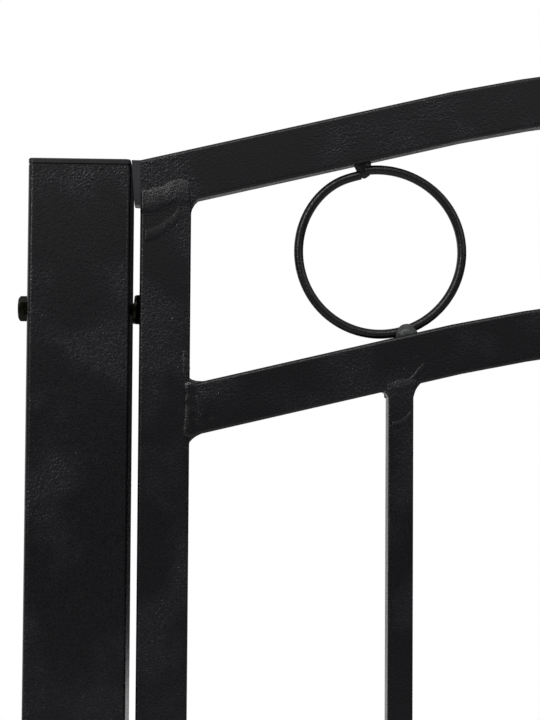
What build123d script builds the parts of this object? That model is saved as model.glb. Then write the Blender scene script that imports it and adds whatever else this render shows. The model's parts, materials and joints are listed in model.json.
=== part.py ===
"""Arched garden gate leaf with rings between two rails, hung between two square posts.

Millimetres. The origin is the centre of the hinge post's foot. +X runs along the gate from the
hinge post to the lock post, +Z is up, and -Y is the front. The leaf opens away from the front.
"""
import os
from math import cos, radians, sin, sqrt, tan

from build123d import *

# ---- posts -------------------------------------------------------------------------------
post_size = 60.0            # square tube, outside
post_wall = 2.0
post_radius = 3.0           # outside corner radius
post_top = 2000.0           # top of the tube above its foot
ground_depth = 500.0        # how much of each post is set in the ground
foot_plate_thickness = 4.0
cap_flange = 2.8            # visible flange of the post cap
cap_seam = 1.1              # groove between the flange and the tube
cap_seam_depth = 1.2
cap_spigot = 16.0
cap_fit = 0.3               # clearance of the cap's spigot in the tube, each side

# ---- leaf --------------------------------------------------------------------------------
leaf_width = 840.0
leaf_depth = 15.0           # every tube of the leaf is this deep from front to back
leaf_setback = 2.0          # leaf front behind the posts' front
hinge_gap = 5.8             # hinge post to hinge stile
lock_gap = 8.0              # lock stile to lock post
ground_gap = 50.0           # ground to the underside of the leaf
rail_height = 30.0          # stiles and rails, seen from the front
tube_wall = 1.5
rail_radius = 2.0           # outside corner radius of stiles and rails
bottom_rail_lift = 60.0     # bottom of the stiles to the underside of the bottom rail
bar_count = 5
bar_width = 15.0
bar_wall = 1.2
bar_radius = 1.2

# ---- arch --------------------------------------------------------------------------------
arch_angle = 13.3           # slope of the straight ends, degrees
arch_bends = 6              # press bends from each straight end to the level crown
arch_pitch = 43.0           # length of rail between two bends
ring_clear = 105.8          # square distance between the two rails, on their straight ends

# ---- rings -------------------------------------------------------------------------------
ring_gap = 2.3              # straight ends: ring to rails, both sides together
ring_wire = 5.5
ring_seat = 0.05            # ring to the rail that it stands on
tab_top = 10.0
tab_bottom = 5.0
tab_thickness = 5.0

# ---- plugs -------------------------------------------------------------------------------
plug_fit = 0.2              # clearance of a plug's spigot in its tube, each side
plug_spigot = 14.0
plug_post_gap = 0.45        # rail plug to hinge post, at every angle of the leaf
plug_height = 26.7
plug_inset = 0.3            # plug faces behind the rail's faces
plug_draft = 2.0            # how far the plug's foot stands back from its top, seen from the front
stile_plug_flange = 3.0

# ---- hinges ------------------------------------------------------------------------------
hinge_drop = 84.5           # post top to the upper hinge
hinge_rise = 150.0          # leaf bottom to the lower hinge
bolt_radius = 4.0           # M8
bolt_hole_radius = 4.25
thread_fit = 0.03
head_flats = 13.0
head_height = 5.5
nut_height = 6.5
eye_radius = 5.5            # upright barrel at the end of the bolt
eye_height = 17.0
eye_proud = 2.4             # barrel in front of the stile's edge, into the gap
flange_thickness = 1.6      # round flange behind the barrel, as tall as the barrel
flange_tilt = 4.0           # degrees
pin_radius = 2.5
pin_fit = 0.05              # running clearance of the pin in the barrel, on the radius
lug_fit = 0.02
lug_gap = 0.4               # barrel to lug, above and below
lug_thickness = 3.0
notch_clear = 0.8           # round flange to the far side of the notch in the stile

# ---- slide bolt --------------------------------------------------------------------------
lock_drop = 500.0           # post top to the slide bolt's axis
lock_plate_height = 150.0
lock_plate_thickness = 3.0
backplate_thickness = 3.0
backplate_height = 46.0
backplate_margin = 5.0      # backplate to the edge of the leaf
rod_radius = 6.0
rod_fit = 0.08
rod_length = 125.0
rod_stand_off = 9.0         # backplate's front to the rod's axis
rod_tip_inset = 2.0         # rod's tip behind the edge of the leaf when it is drawn back
rod_travel = 32.0
guide_width = 12.0
guide_wall = 4.0
guide_height = 24.0
knob_stem_radius = 3.0
knob_radius = 9.0
knob_reach = 16.0           # rod to the knob
knob_length = 12.0
knob_depth = 4.5            # stem's thread in the rod
knob_gap = 7.0              # knob's stem to the tail guide when the bolt is drawn back
keeper_thickness = 3.0
keeper_width = 34.0
keeper_block = 16.0
keeper_start = 4.0          # edge of the post to the keeper
keeper_fit = 0.6
screw_radius = 2.5
screw_head_radius = 4.6
screw_head_height = 2.6

# ---- pull handle -------------------------------------------------------------------------
handle_drop = 670.0         # post top to the middle of the handle
handle_centres = 120.0
handle_rod = 6.0            # radius
handle_reach = 42.0         # leaf front to the middle of the grip
handle_bend = 14.0
handle_foot_radius = 10.0
handle_foot_thickness = 3.0

# ---- stops -------------------------------------------------------------------------------
stop_rise = 350.0           # leaf bottom to the lower stop
stop_drop = 250.0           # post top to the upper stop
stop_width = 40.0
stop_thickness = 3.0
stop_overlap = 12.0
buffer_radius = 4.0
buffer_gap = 0.3            # rubber to the closed leaf

# ---- derived places ----------------------------------------------------------------------
post_half = post_size / 2
post_front = -post_half
leaf_front = post_front + leaf_setback
leaf_back = leaf_front + leaf_depth
leaf_mid = (leaf_front + leaf_back) / 2
leaf_left = post_half + hinge_gap
leaf_right = leaf_left + leaf_width
lock_post_x = leaf_right + lock_gap + post_half
leaf_bottom = ground_depth + ground_gap
cap_top = post_top + cap_seam + cap_flange
leaf_centre = (leaf_left + leaf_right) / 2
hinge_x = leaf_left - eye_proud + eye_radius
hinge_heights = (post_top - hinge_drop, leaf_bottom + hinge_rise)
lock_height = post_top - lock_drop
handle_height = post_top - handle_drop
stop_heights = (leaf_bottom + stop_rise, post_top - stop_drop)
ring_outside = ring_clear - ring_gap
ring_rail_fall = (rail_height + ring_clear) / cos(radians(arch_angle))
bar_gap = (leaf_width - 2 * rail_height - bar_count * bar_width) / (bar_count + 1)
far = 3000.0                # longer than the gate, for cutting solids


def block(x0, x1, y0, y1, z0, z1):
    """Box between two corners."""
    centre = Pos((x0 + x1) / 2, (y0 + y1) / 2, (z0 + z1) / 2)
    return centre * Box(x1 - x0, y1 - y0, z1 - z0)


def tube_profile(width, depth, wall, radius):
    """Square tube section with rounded corners, centred."""
    inner_radius = max(radius - wall, 0.3)
    outside = RectangleRounded(width, depth, radius)
    return outside - RectangleRounded(width - 2 * wall, depth - 2 * wall, inner_radius)


def upright_tube(x, y, z0, z1, width, depth, wall, radius):
    """Vertical square tube."""
    return Pos(x, y, z0) * extrude(tube_profile(width, depth, wall, radius), amount=z1 - z0)


def rounded_plate(width, depth, radius, z0, z1, x=0.0, y=0.0):
    """Level plate with rounded corners."""
    return Pos(x, y, z0) * extrude(RectangleRounded(width, depth, radius), amount=z1 - z0)


def rod_x(x0, x1, y, z, radius):
    """Round bar along X."""
    return Pos((x0 + x1) / 2, y, z) * Rot(0, 90, 0) * Cylinder(radius, x1 - x0)


def rod_y(x, y0, y1, z, radius):
    """Round bar along Y."""
    return Pos(x, (y0 + y1) / 2, z) * Rot(90, 0, 0) * Cylinder(radius, y1 - y0)


def rod_z(x, y, z0, z1, radius):
    """Upright round bar."""
    return Pos(x, y, (z0 + z1) / 2) * Cylinder(radius, z1 - z0)


def hexagon_x(x0, x1, y, z, flats):
    """Hexagonal prism along X with two of its flats facing front and back."""
    outline = Plane.YZ * RegularPolygon(flats / sqrt(3), 6, rotation=90)
    return Pos(x0, y, z) * extrude(outline, amount=x1 - x0)


def group(*solids):
    """Separate solids kept in one node."""
    return Compound(children=[solid for item in solids for solid in item.solids()])


# ---- the arch ----------------------------------------------------------------------------
slopes = [arch_angle * (1 - step / arch_bends) for step in range(arch_bends + 1)]
bent_run = sum(arch_pitch * cos(radians(slope)) for slope in slopes[1:-1])
straight_run = leaf_width / 2 - bent_run - arch_pitch / 2
straight_length = straight_run / cos(radians(arch_angle))


def arch_line(drop, fall=0.0):
    """Points of the bent line `drop` square below the top edge of a rail that hangs `fall` lower.

    Both rails are bent alike, so the second one is the first one lowered. The half from the left
    is stepped out segment by segment and mirrored. Its first point lies before the end of the
    leaf, so that a rail made along it can be cut upright.
    """
    lengths = [straight_length] + [arch_pitch] * (arch_bends - 1)
    x = leaf_left
    z = cap_top - fall
    first = radians(slopes[0])
    run_out = 2 * rail_height
    left = [(x + drop * sin(first) - run_out * cos(first), z - drop * cos(first) - run_out * sin(first))]
    for length, slope, next_slope in zip(lengths, slopes, slopes[1:]):
        x += length * cos(radians(slope))
        z += length * sin(radians(slope))
        middle = radians((slope + next_slope) / 2)
        reach = drop / cos(radians((slope - next_slope) / 2))
        left.append((x + reach * sin(middle), z - reach * cos(middle)))
    right = [(2 * leaf_centre - px, pz) for px, pz in reversed(left)]
    return left + right


def above(drop, fall=0.0):
    """Everything above the arch line, through the whole depth."""
    points = arch_line(drop, fall)
    outline = points + [(points[-1][0], far), (points[0][0], far)]
    face = make_face(Polyline(*[(px, 0, pz) for px, pz in outline], close=True))
    return extrude(face, amount=far, dir=(0, 1, 0), both=True)


def bent_rail(fall, x0, x1):
    """Rail tube that hangs `fall` lower than the top rail, cut upright at both ends."""
    points = [(px, leaf_mid, pz) for px, pz in arch_line(rail_height / 2, fall)]
    path = Polyline(*points)
    section = tube_profile(leaf_depth, rail_height, tube_wall, rail_radius)
    start = Plane(origin=path @ 0, x_dir=(0, 1, 0), z_dir=path % 0)
    tube = sweep(start * section, path=path, transition=Transition.RIGHT)
    return tube & block(x0, x1, leaf_front - 5, leaf_back + 5, 0, far)


def bar_centre(number):
    """X of a bar's middle, bars numbered from 1 at the hinge side."""
    pitch = bar_width + bar_gap
    return leaf_left + rail_height + bar_gap + bar_width / 2 + (number - 1) * pitch


# ---- posts -------------------------------------------------------------------------------
def make_post(x):
    """Square post tube on its foot plate."""
    return upright_tube(x, 0, foot_plate_thickness, post_top, post_size, post_size, post_wall, post_radius)


def make_foot(x):
    """Plate that closes the buried end of a post."""
    return rounded_plate(post_size, post_size, post_radius, 0, foot_plate_thickness, x)


def make_cap(x):
    """Post cap: flange, a narrower step that rests on the tube, and a hollow spigot inside it."""
    step = post_size - 2 * cap_seam_depth
    inside = post_size - 2 * post_wall - 2 * cap_fit
    corner = max(post_radius - post_wall, 0.3)
    flange = rounded_plate(post_size, post_size, post_radius, post_top + cap_seam, cap_top, x)
    flange = fillet(flange.edges().group_by(Axis.Z)[-1], 0.8)
    seat = rounded_plate(step, step, post_radius - cap_seam_depth, post_top, post_top + cap_seam, x)
    spigot = rounded_plate(inside, inside, corner, post_top - cap_spigot, post_top, x)
    hollow = rounded_plate(inside - 4, inside - 4, corner, post_top - cap_spigot, post_top - 2, x)
    return flange + seat + spigot - hollow


hinge_post = make_post(0)
for height in hinge_heights:
    hinge_post -= rod_x(-far, far, leaf_mid, height, bolt_hole_radius)
lock_post = make_post(lock_post_x)

# ---- hinges ------------------------------------------------------------------------------
bolt_end = hinge_x - pin_radius - pin_fit - 0.7
flange_x = hinge_x - eye_radius - 0.2


def make_bolt(z):
    """Hexagon bolt from the post's outer face to the barrel, its head chamfered at the top."""
    top = -post_half - head_height
    head = hexagon_x(top, -post_half, leaf_mid, z, head_flats)
    narrow = head_flats * 0.49
    wide = narrow + head_height * 1.9
    crown = Cone(narrow, wide, head_height, align=(Align.CENTER, Align.CENTER, Align.MIN))
    shank = rod_x(-post_half, bolt_end, leaf_mid, z, bolt_radius)
    return (head & (Pos(top, leaf_mid, z) * Rot(0, 90, 0) * crown)) + shank


def make_nut(z):
    """Nut welded inside the post's inner wall."""
    inner_face = post_half - post_wall
    nut = hexagon_x(inner_face - nut_height, inner_face, leaf_mid, z, head_flats)
    return nut - rod_x(0, far, leaf_mid, z, bolt_radius + thread_fit)


def make_eye(z):
    """Upright barrel with a round flange, screwed on the bolt; the hinge pin turns in it."""
    barrel = rod_z(hinge_x, leaf_mid, z - eye_height / 2, z + eye_height / 2, eye_radius)
    disc = Pos(flange_x, leaf_mid, z) * Rot(0, 90 + flange_tilt, 0)
    flange = disc * Cylinder(eye_height / 2 - 0.05, flange_thickness)
    thread = rod_x(0, bolt_end + 0.1, leaf_mid, z, bolt_radius + thread_fit)
    bore = rod_z(hinge_x, leaf_mid, z - eye_height, z + eye_height, pin_radius + pin_fit)
    return barrel + flange - thread - bore


notch_right = hinge_x + eye_height / 2 + notch_clear
notch_half = eye_height / 2 + lug_gap + lug_thickness


def make_lugs(z):
    """Two plates welded into the notch of the stile, above and below the barrel."""
    low = eye_height / 2 + lug_gap
    plates = []
    for side in (-1, 1):
        z0 = z + side * low
        z1 = z0 + side * lug_thickness
        y0 = leaf_front + tube_wall
        plate = block(leaf_left, notch_right, y0, leaf_back, min(z0, z1), max(z0, z1))
        plates.append(plate - rod_z(hinge_x, leaf_mid, 0, far, pin_radius + lug_fit))
    return plates


def make_pin(z):
    """Hinge pin, flush with the outsides of its two lugs."""
    return rod_z(hinge_x, leaf_mid, z - notch_half, z + notch_half, pin_radius)


# ---- leaf frame --------------------------------------------------------------------------
stile_foot = leaf_bottom + stile_plug_flange


def make_stile(x):
    """Stile tube, cut at its top to the slope of the rail that lies on it."""
    tube = upright_tube(x, leaf_mid, stile_foot, cap_top, rail_height, leaf_depth, tube_wall, rail_radius)
    return tube - above(rail_height)


hinge_stile = make_stile(leaf_left + rail_height / 2)
for height in hinge_heights:
    hinge_stile -= block(leaf_left - 1, notch_right, leaf_front + tube_wall, leaf_back + 1,
                         height - notch_half, height + notch_half)
lock_stile = make_stile(leaf_right - rail_height / 2)
inner_left = leaf_left + rail_height
inner_right = leaf_right - rail_height
top_rail = bent_rail(0, leaf_left, leaf_right)
ring_rail = bent_rail(ring_rail_fall, inner_left, inner_right)
bottom_rail_z = leaf_bottom + bottom_rail_lift
bottom_profile = tube_profile(rail_height, leaf_depth, tube_wall, rail_radius)
bottom_rail = Pos(inner_left, leaf_mid, bottom_rail_z + rail_height / 2) * Rot(0, 90, 0) * extrude(
    bottom_profile, amount=inner_right - inner_left)
bar_ceiling = above(rail_height, ring_rail_fall)


def make_bar(number):
    """Square bar from the bottom rail up to the underside of the ring rail."""
    foot = bottom_rail_z + rail_height
    tube = upright_tube(bar_centre(number), leaf_mid, foot, far / 1.2, bar_width, leaf_depth,
                        bar_wall, bar_radius)
    return tube - bar_ceiling


# ---- rings -------------------------------------------------------------------------------
def ring_place(number):
    """Place of the ring above a bar, with its own Z square to the rail that it stands on."""
    side = (number > (bar_count + 1) / 2) - (number < (bar_count + 1) / 2)
    lean = side * radians(arch_angle)
    run = abs(bar_centre(number) - (leaf_right if side > 0 else leaf_left))
    crown_z = arch_line(0, ring_rail_fall)[arch_bends][1]
    straight_z = cap_top - ring_rail_fall + run * tan(abs(lean))
    contact_z = straight_z if side else crown_z
    reach = ring_outside / 2 + ring_seat
    centre = Pos(bar_centre(number) + reach * sin(lean), leaf_mid, contact_z + reach * cos(lean))
    return centre * Rot(0, side * arch_angle, 0)


def ring_body():
    """Wire ring about its own centre, standing in the XZ plane."""
    return Rot(90, 0, 0) * Torus((ring_outside - ring_wire) / 2, ring_wire / 2)


def make_ring(number):
    """Ring above a bar."""
    return ring_place(number) * ring_body()


def make_tab(number):
    """Tapered tab that joins the top of a ring to the top rail."""
    low = ring_outside / 2 - ring_wire / 2
    level = number == (bar_count + 1) / 2
    clear = ring_rail_fall - rail_height if level else ring_clear
    high = clear - ring_outside / 2 - ring_seat
    outline = Polyline((-tab_bottom / 2, 0, low), (tab_bottom / 2, 0, low), (tab_top / 2, 0, high),
                       (-tab_top / 2, 0, high), close=True)
    tab = extrude(make_face(outline), amount=tab_thickness / 2, dir=(0, 1, 0), both=True)
    return ring_place(number) * (tab - ring_body())


ring_bars = {"ring_left": 1, "ring_centre": (bar_count + 1) // 2, "ring_right": bar_count}


# ---- plugs -------------------------------------------------------------------------------
def make_left_rail_plug():
    """End plug of the top rail: flat in front, round about the hinge axis behind, so it turns clear."""
    left = post_half + plug_post_gap
    y0 = leaf_front + plug_inset
    y1 = leaf_back - plug_inset
    z0 = cap_top - plug_inset - plug_height
    z1 = cap_top - plug_inset
    side = Polygon((left, z1), (left + plug_draft, z0), (leaf_left, z0), (leaf_left, z1), align=None)
    slanted = Pos(0, y1, 0) * extrude(Plane.XZ * side, amount=y1 - y0)
    flat_half = block(left, leaf_left, y0, leaf_mid, z0, z1)
    round_half = block(left, leaf_left, leaf_mid, y1, z0, z1) & rod_z(hinge_x, leaf_mid, z0, z1, hinge_x - left)
    head = slanted & (flat_half + round_half)
    height = rail_height - 2 * tube_wall - 2 * plug_fit
    depth = leaf_depth - 2 * tube_wall - 2 * plug_fit
    middle = cap_top - rail_height / 2 / cos(radians(arch_angle))
    spigot = Pos(leaf_left, leaf_mid, middle) * Rot(0, -arch_angle, 0) * Box(2 * plug_spigot, depth, height)
    return head + (spigot & block(leaf_left, far, -far, far, 0, far))


def make_stile_plug(x):
    """Plug that closes the foot of a stile."""
    width = rail_height - 2 * tube_wall - 2 * plug_fit
    depth = leaf_depth - 2 * tube_wall - 2 * plug_fit
    flange = rounded_plate(rail_height, leaf_depth, rail_radius, leaf_bottom, stile_foot, x, leaf_mid)
    return flange + block(x - width / 2, x + width / 2, leaf_mid - depth / 2, leaf_mid + depth / 2,
                          stile_foot, stile_foot + plug_spigot)


left_plug = make_left_rail_plug()
right_plug = mirror(left_plug, about=Plane(origin=(leaf_centre, 0, 0), z_dir=(1, 0, 0)))

# ---- slide bolt --------------------------------------------------------------------------
plate_left = bar_centre(bar_count) + bar_width / 2
lock_plate = block(plate_left, inner_right, leaf_front, leaf_front + lock_plate_thickness,
                   lock_height - lock_plate_height / 2, lock_height + lock_plate_height / 2)
backplate_front = leaf_front - backplate_thickness
rod_y_axis = backplate_front - rod_stand_off
rod_tip = leaf_right - rod_tip_inset
rod_tail = rod_tip - rod_length
tail_guide = rod_tail + guide_width / 2 + 6
knob_x = tail_guide + guide_width / 2 + knob_gap + knob_stem_radius
middle_guide = knob_x + knob_stem_radius + rod_travel + knob_gap + guide_width / 2
tip_guide = rod_tip - 6 - guide_width / 2
backplate_left = rod_tail + 2
backplate_right = leaf_right - backplate_margin
screw_places = [(sx, lock_height + side * (backplate_height / 2 - 6))
                for sx in (backplate_left + 26, backplate_right - 38) for side in (-1, 1)]


def make_guide(x0, x1, y_base, hole):
    """Loop that holds the rod: a block with a round front, on a plate at y_base."""
    radius = rod_radius + guide_wall
    web = block(x0, x1, rod_y_axis, y_base, lock_height - guide_height / 2, lock_height + guide_height / 2)
    nose = rod_x(x0, x1, rod_y_axis, lock_height, radius)
    body = web & block(x0, x1, -far, far, lock_height - radius, lock_height + radius)
    flange = block(x0, x1, y_base - guide_wall, y_base, lock_height - guide_height / 2,
                   lock_height + guide_height / 2)
    loop = (body + nose + flange) & block(x0, x1, -far, y_base, 0, far)
    return loop - rod_x(x0 - 1, x1 + 1, rod_y_axis, lock_height, hole)


backplate = block(backplate_left, backplate_right, backplate_front, leaf_front,
                  lock_height - backplate_height / 2, lock_height + backplate_height / 2)
backplate = fillet(backplate.edges().filter_by(Axis.Y), 4)
screws = []
for sx, sz in screw_places:
    backplate -= rod_y(sx, backplate_front - 1, leaf_front + 1, sz, screw_radius + thread_fit)
    lock_plate -= rod_y(sx, leaf_front - 1, leaf_front + 4, sz, screw_radius + thread_fit)
    shank = rod_y(sx, backplate_front, leaf_front + lock_plate_thickness, sz, screw_radius)
    head = rod_y(sx, backplate_front - screw_head_height, backplate_front, sz, screw_head_radius)
    screws.append(fillet(head.edges().group_by(Axis.Y)[0], 1.6) + shank)
guides = [make_guide(x - guide_width / 2, x + guide_width / 2, backplate_front, rod_radius + rod_fit)
          for x in (tail_guide, middle_guide, tip_guide)]
rod = rod_x(rod_tail, rod_tip, rod_y_axis, lock_height, rod_radius)
rod = chamfer(rod.edges().group_by(Axis.X)[-1], 1.5)
rod -= rod_y(knob_x, rod_y_axis - rod_radius - 1, rod_y_axis - rod_radius + knob_depth, lock_height,
             knob_stem_radius + thread_fit)
knob_back = rod_y_axis - rod_radius - knob_reach
stem = rod_y(knob_x, knob_back, rod_y_axis - rod_radius + knob_depth - 0.2, lock_height, knob_stem_radius)
knob_body = rod_y(knob_x, knob_back - knob_length, knob_back, lock_height, knob_radius)
knob = fillet(knob_body.edges(), 3.0) + stem

keeper_left = lock_post_x - post_half + keeper_start
keeper_front = post_front - keeper_thickness
keeper_plate = block(keeper_left, keeper_left + keeper_width, keeper_front, post_front,
                     lock_height - backplate_height / 2, lock_height + backplate_height / 2)
keeper = keeper_plate + make_guide(keeper_left, keeper_left + keeper_block, keeper_front,
                                   rod_radius + keeper_fit)
keeper_screws = []
for side in (-1, 1):
    sx = keeper_left + keeper_width - 9
    sz = lock_height + side * (backplate_height / 2 - 8)
    keeper -= rod_y(sx, keeper_front - 1, post_front, sz, screw_radius + thread_fit)
    lock_post -= rod_y(sx, post_front - 1, post_front + post_wall + 1, sz, screw_radius + thread_fit)
    head = rod_y(sx, keeper_front - screw_head_height, keeper_front, sz, screw_head_radius)
    shank = rod_y(sx, keeper_front, post_front + post_wall + 6, sz, screw_radius)
    keeper_screws.append(fillet(head.edges().group_by(Axis.Y)[0], 1.6) + shank)

# ---- pull handle -------------------------------------------------------------------------
handle_x = leaf_right - rail_height / 2
grip_y = leaf_front - handle_reach
foot_y = leaf_front - handle_foot_thickness
low_z = handle_height - handle_centres / 2
high_z = handle_height + handle_centres / 2
handle_path = FilletPolyline((handle_x, foot_y, low_z), (handle_x, grip_y, low_z), (handle_x, grip_y, high_z),
                             (handle_x, foot_y, high_z), radius=handle_bend)
handle_start = Plane(origin=handle_path @ 0, z_dir=handle_path % 0)
pull_handle = sweep(handle_start * Circle(handle_rod), path=handle_path)
handle_screws = []
for z in (low_z, high_z):
    pull_handle += rod_y(handle_x, foot_y, leaf_front, z, handle_foot_radius)
    pull_handle -= rod_y(handle_x, foot_y - 8, leaf_front + 1, z, screw_radius + thread_fit)
    lock_stile -= rod_y(handle_x, leaf_front - 1, leaf_back + 1, z, screw_radius + thread_fit)
    head = rod_y(handle_x, leaf_back, leaf_back + screw_head_height, z, screw_head_radius)
    shank = rod_y(handle_x, foot_y - 7, leaf_back, z, screw_radius)
    handle_screws.append(fillet(head.edges().group_by(Axis.Y)[-1], 1.6) + shank)

# ---- stops -------------------------------------------------------------------------------
stops = []
buffers = []
stop_left = leaf_right - stop_overlap
for z in stop_heights:
    stop = block(stop_left, lock_post_x - 5, post_front - stop_thickness, post_front, z - stop_width / 2,
                 z + stop_width / 2)
    stops.append(fillet(stop.edges().filter_by(Axis.Y), 3))
    buffers.append(rod_y(stop_left + stop_overlap / 2, post_front, leaf_front - buffer_gap, z, buffer_radius))

# ---- every node --------------------------------------------------------------------------
nodes = {
    "hinge_post": hinge_post,
    "lock_post": lock_post,
    "hinge_post_cap": make_cap(0),
    "lock_post_cap": make_cap(lock_post_x),
    "hinge_post_foot": make_foot(0),
    "lock_post_foot": make_foot(lock_post_x),
    "hinge_bolts": group(*[make_bolt(z) for z in hinge_heights]),
    "post_weld_nuts": group(*[make_nut(z) for z in hinge_heights]),
    "hinge_eyes": group(*[make_eye(z) for z in hinge_heights]),
    "hinge_lugs": group(*[plate for z in hinge_heights for plate in make_lugs(z)]),
    "hinge_pins": group(*[make_pin(z) for z in hinge_heights]),
    "hinge_stile": hinge_stile,
    "lock_stile": lock_stile,
    "top_rail": top_rail,
    "ring_rail": ring_rail,
    "bottom_rail": bottom_rail,
    "ring_tabs": group(*[make_tab(number) for number in ring_bars.values()]),
    "hinge_side_rail_plug": left_plug,
    "lock_side_rail_plug": right_plug,
    "stile_plugs": group(make_stile_plug(leaf_left + rail_height / 2),
                         make_stile_plug(leaf_right - rail_height / 2)),
    "lock_plate": lock_plate,
    "bolt_backplate": backplate,
    "bolt_guides": group(*guides),
    "bolt_screws": group(*screws),
    "bolt_rod": rod,
    "bolt_knob": knob,
    "bolt_keeper": keeper,
    "keeper_screws": group(*keeper_screws),
    "pull_handle": pull_handle,
    "handle_screws": group(*handle_screws),
    "gate_stops": group(*stops),
    "stop_buffers": group(*buffers),
}
for number in range(1, bar_count + 1):
    nodes[f"bar_{number}"] = make_bar(number)
for name, number in ring_bars.items():
    nodes[name] = make_ring(number)

os.makedirs("parts", exist_ok=True)
for name, shape in nodes.items():
    export_step(shape, f"parts/{name}.step")
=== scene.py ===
"""Looks of the arched garden gate: finishes, welds, threaded bolts, wire rings, studio and camera.

Everything is in metres in the frame of the CAD model: +X along the gate from the hinge post to
the lock post, +Z up, and -Y the front.
"""

import json
import logging
from dataclasses import dataclass, field
from enum import Enum
from math import cos, pi, radians, sin, tan, tau

import bpy
import numpy as np
from mathutils import Matrix, Vector


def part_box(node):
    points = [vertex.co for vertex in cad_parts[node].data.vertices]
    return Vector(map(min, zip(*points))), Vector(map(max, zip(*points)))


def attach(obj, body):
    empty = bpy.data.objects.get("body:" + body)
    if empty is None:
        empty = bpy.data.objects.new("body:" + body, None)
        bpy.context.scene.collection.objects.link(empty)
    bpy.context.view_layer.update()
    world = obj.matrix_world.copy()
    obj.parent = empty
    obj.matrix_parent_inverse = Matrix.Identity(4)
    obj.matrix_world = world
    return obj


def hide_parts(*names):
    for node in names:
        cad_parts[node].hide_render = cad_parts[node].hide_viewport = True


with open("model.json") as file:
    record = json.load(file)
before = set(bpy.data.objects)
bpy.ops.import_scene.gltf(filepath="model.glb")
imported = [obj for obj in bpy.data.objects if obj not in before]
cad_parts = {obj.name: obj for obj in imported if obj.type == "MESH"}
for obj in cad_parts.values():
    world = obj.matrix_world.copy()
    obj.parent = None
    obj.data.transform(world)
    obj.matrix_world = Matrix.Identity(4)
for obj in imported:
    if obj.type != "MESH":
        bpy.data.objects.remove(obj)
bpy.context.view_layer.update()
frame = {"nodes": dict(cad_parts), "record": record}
LOG = logging.getLogger("garden_gate")
MM = 0.001
Array = np.ndarray


def linear(hex_colour: str) -> tuple[float, float, float, float]:
    """Turn an sRGB hex colour into the linear colour that a shader takes.

    Args:
        hex_colour: six hex digits, such as "202124".
    Returns:
        Linear red, green, blue and an alpha of 1.
    """
    channels = [int(hex_colour[place:place + 2], 16) / 255 for place in (0, 2, 4)]
    red, green, blue = (c / 12.92 if c <= 0.04045 else ((c + 0.055) / 1.055) ** 2.4 for c in channels)
    return red, green, blue, 1.0


# ---- materials ---------------------------------------------------------------------------
def add(tree: bpy.types.NodeTree, kind: str, links: dict | None = None, **settings) -> bpy.types.Node:
    """Add one shader node.

    Args:
        tree: node tree that it goes into.
        kind: Blender's node type.
        links: input name or number to the output socket that feeds it.
        settings: input names (spaces as underscores) or node properties, to their values.
    Returns:
        The node.
    """
    node = tree.nodes.new(kind)
    for key, value in settings.items():
        if hasattr(node, key):
            setattr(node, key, value)
        else:
            node.inputs[key.replace("_", " ")].default_value = value
    for key, socket in (links or {}).items():
        tree.links.new(socket, node.inputs[key])
    return node


def start_material(name: str) -> tuple[bpy.types.Material, bpy.types.NodeTree, bpy.types.NodeSocket]:
    """Make an empty material.

    Args:
        name: name of the material.
    Returns:
        The material, its node tree and the object coordinates that its patterns read.
    """
    material = bpy.data.materials.new(name)
    material.use_nodes = True
    tree = material.node_tree
    tree.nodes.clear()
    return material, tree, add(tree, "ShaderNodeTexCoord").outputs["Object"]


def end_material(tree: bpy.types.NodeTree, shader: bpy.types.Node) -> None:
    """Send a shader to the material's surface.

    Args:
        tree: node tree of the material.
        shader: node whose first output is the surface.
    """
    add(tree, "ShaderNodeOutputMaterial", {"Surface": shader.outputs[0]})


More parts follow.
